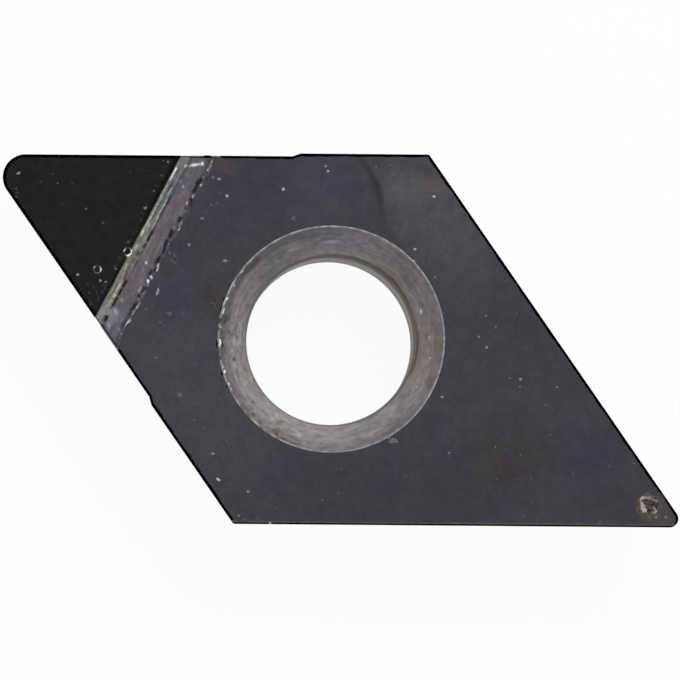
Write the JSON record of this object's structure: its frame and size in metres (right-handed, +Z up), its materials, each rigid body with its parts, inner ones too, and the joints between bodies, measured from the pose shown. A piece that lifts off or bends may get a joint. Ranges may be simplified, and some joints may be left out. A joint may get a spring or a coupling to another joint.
{
  "type": "diamond turning insert",
  "caption": "Rhombic turning insert with relieved flanks, a black diamond tip brazed into an acute corner, and a countersunk hole for its clamping screw.",
  "frame": {"origin": "on the screw hole's axis, at the flat seat face under the insert", "axes": "+Z up along the screw hole towards the cutting face, +X along the insert's length and two of its long edges, with the diamond nose towards -X and +Y"},
  "size_m": [0.0116, 0.0064, 0.0024],
  "materials": {
    "body_carbide": "dark heat-tinted cemented carbide, finely ground",
    "sintered_diamond": "polished near-black polycrystalline diamond",
    "backing_carbide": "ground cemented carbide",
    "silver_braze": "pale silver braze, ground flush"
  },
  "bodies": {
    "root": {"insert_body": "body_carbide", "diamond_layer": "sintered_diamond", "tip_backing": "backing_carbide", "braze_seam": "silver_braze"}
  },
  "joints": []
}
